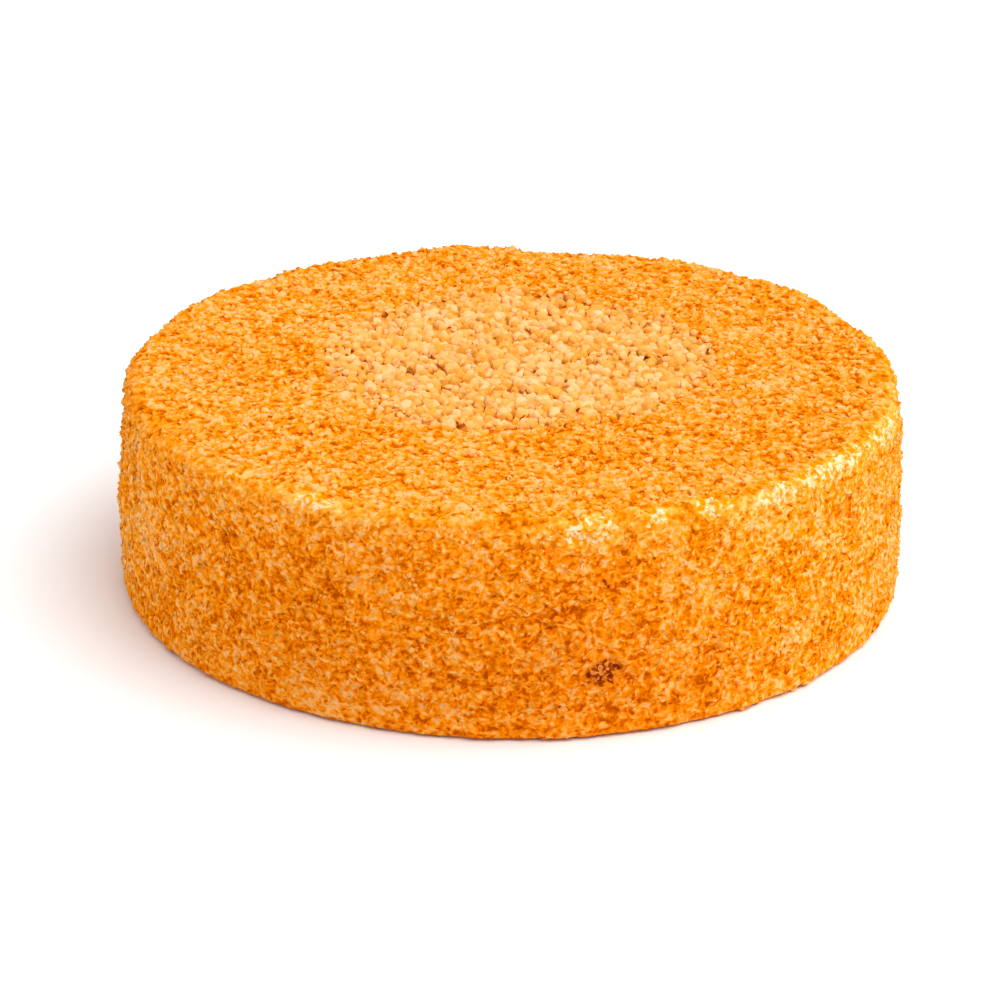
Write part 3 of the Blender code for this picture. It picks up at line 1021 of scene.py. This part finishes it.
def scorched_in_places(tree, colour, relief):
    """The coat's colour with its scorched places, which are browned all round."""
    scorched = attribute(tree, "scorched")
    colour = mix(tree, map_range(tree, scorched, *BROWNED_LIMITS, 0.0, BROWNED_COVER), colour, BROWNED)
    # Painted shade: scorched places are painted darker in the pattern's hollows, besides their own scorch
    brown = mix(tree, map_range(tree, relief, *SCORCHED_HEIGHTS), SHADED_SCORCHED, SCORCHED)
    cover = map_range(tree, broken_up(tree, scorched, relief, -OUTLINE_BREAK), *SCORCHED_LIMITS)
    return mix(tree, cover, colour, brown)


def finish_shader(tree, shader, colour, height, bump, roughness, shine):
    """Gives a shader its colour, its fine bumps, its roughness and its shine."""
    tree.links.new(colour, shader.inputs["Base Color"])
    shader.inputs["Roughness"].default_value = roughness
    shader.inputs["Specular IOR Level"].default_value = shine
    bumps = add_node(tree, "ShaderNodeBump", {"Height": height, **bump})
    tree.links.new(bumps.outputs["Normal"], shader.inputs["Normal"])


def crumb_material():
    made, tree, shader = new_material("crumb_coat")
    place = add_node(tree, "ShaderNodeTexCoord").outputs["Object"]
    place = add_node(tree, "ShaderNodeVectorMath", {0: place, 1: (1.0, 1.0, SQUASH)},
                     operation="MULTIPLY").outputs[0]
    wall = attribute(tree, "wall")
    on_wall = maths(tree, "MULTIPLY", crumb_pattern(tree, place, 1.0), WALL_CONTRAST)
    relief = mix_numbers(tree, wall, crumb_pattern(tree, place, TOP_PATTERN), on_wall)
    # The pattern's height paints the colour too: raised crumb paler as painted light, hollows darker as
    # painted shade, mixed with the crumb's own mottling
    level = maths(tree, "ADD", relief, attribute(tree, "level"), clamp=True)
    colour = mix(tree, wall, ramp(tree, level, TOP_COLOURS), ramp(tree, level, WALL_COLOURS))
    colour = mix(tree, attribute(tree, "toast"), colour, TOASTED, blend="MULTIPLY")
    colour = creamed(tree, colour, relief, level)
    colour = specked(tree, colour, place, wall)
    colour = scorched_in_places(tree, colour, relief)
    finish_shader(tree, shader, colour, relief, CRUMB_BUMP, CRUMB_ROUGHNESS, CRUMB_SHINE)
    return made


def nut_material():
    made, tree, shader = new_material("chopped_nuts")
    place = add_node(tree, "ShaderNodeTexCoord").outputs["Object"]
    grain = add_node(tree, "ShaderNodeTexNoise", {"Vector": place, **SPECKLES})
    speckle = grain.outputs["Fac"]
    tone = maths(tree, "MULTIPLY_ADD", speckle, SPECKLE_SWING, attribute(tree, "level"))
    tone = maths(tree, "SUBTRACT", tone, SPECKLE_SWING / 2, clamp=True)
    tint = attribute(tree, "tint")
    colour = ramp(tree, tone, NUT_COLOURS)
    colour = mix(tree, map_range(tree, tint, *HONEYED_LIMITS, 0.0, HONEYED_COVER), colour, HONEYED_NUT)
    colour = mix(tree, map_range(tree, tint, *PALE_LIMITS, 0.0, PALE_COVER), colour, PALE_NUT)
    finish_shader(tree, shader, colour, speckle, NUT_BUMP, NUT_ROUGHNESS, NUT_SHINE)
    return made


def direction(azimuth, elevation):
    flat = math.cos(elevation)
    return Vector((flat * math.cos(azimuth), flat * math.sin(azimuth), math.sin(elevation)))


def add_camera():
    data = bpy.data.cameras.new("camera")
    data.lens = CAMERA_LENS
    data.sensor_width = SENSOR_WIDTH
    camera = bpy.data.objects.new("camera", data)
    bpy.context.scene.collection.objects.link(camera)
    camera.location = CAMERA_PIVOT + CAMERA_DISTANCE * direction(-math.pi / 2, CAMERA_ELEVATION)
    look = (CAMERA_AIM - camera.location).to_track_quat("-Z", "Y").to_matrix()
    camera.rotation_euler = (look @ Matrix.Rotation(CAMERA_ROLL, 3, "Z")).to_euler()
    bpy.context.scene.camera = camera


def add_sun(name, azimuth, elevation, strength):
    data = bpy.data.lights.new(name, "SUN")
    data.energy = strength
    data.angle = SUN_ANGLE
    light = bpy.data.objects.new(name, data)
    bpy.context.scene.collection.objects.link(light)
    toward = direction(azimuth, elevation)
    light.location = toward
    light.rotation_euler = (-toward).to_track_quat("-Z", "Y").to_euler()


def add_surroundings():
    world = bpy.data.worlds.new("studio")
    world.use_nodes = True
    background = world.node_tree.nodes["Background"]
    background.inputs["Color"].default_value = (1, 1, 1, 1)
    background.inputs["Strength"].default_value = WORLD_STRENGTH
    bpy.context.scene.world = world

    bpy.ops.mesh.primitive_plane_add(size=FLOOR_SIZE)
    floor = bpy.context.object
    floor.name = "floor"
    made, _, shader = new_material("floor")
    shader.inputs["Base Color"].default_value = FLOOR_COLOUR
    shader.inputs["Roughness"].default_value = FLOOR_ROUGHNESS
    floor.data.materials.append(made)

    add_sun("key", KEY_AZIMUTH, KEY_ELEVATION, KEY_STRENGTH)
    add_sun("fill", FILL_AZIMUTH, FILL_ELEVATION, FILL_STRENGTH)
    bpy.context.scene.view_settings.view_transform = "Standard"


def main():
    add_camera()
    add_surroundings()
    core = cake_core()
    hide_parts("honey_cake")
    nut_base = nut_core()
    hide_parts("chopped_nuts")
    coated = [core, *loose_crumbs()]
    nuts = [nut_base, chopped_nuts()]
    for pieces, made, slot in (
        (coated, crumb_material(), "crumb_coat"),
        (nuts, nut_material(), "chopped_nuts"),
    ):
        for piece in pieces:
            piece.data.materials.append(made)
            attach(piece, "root")


main()
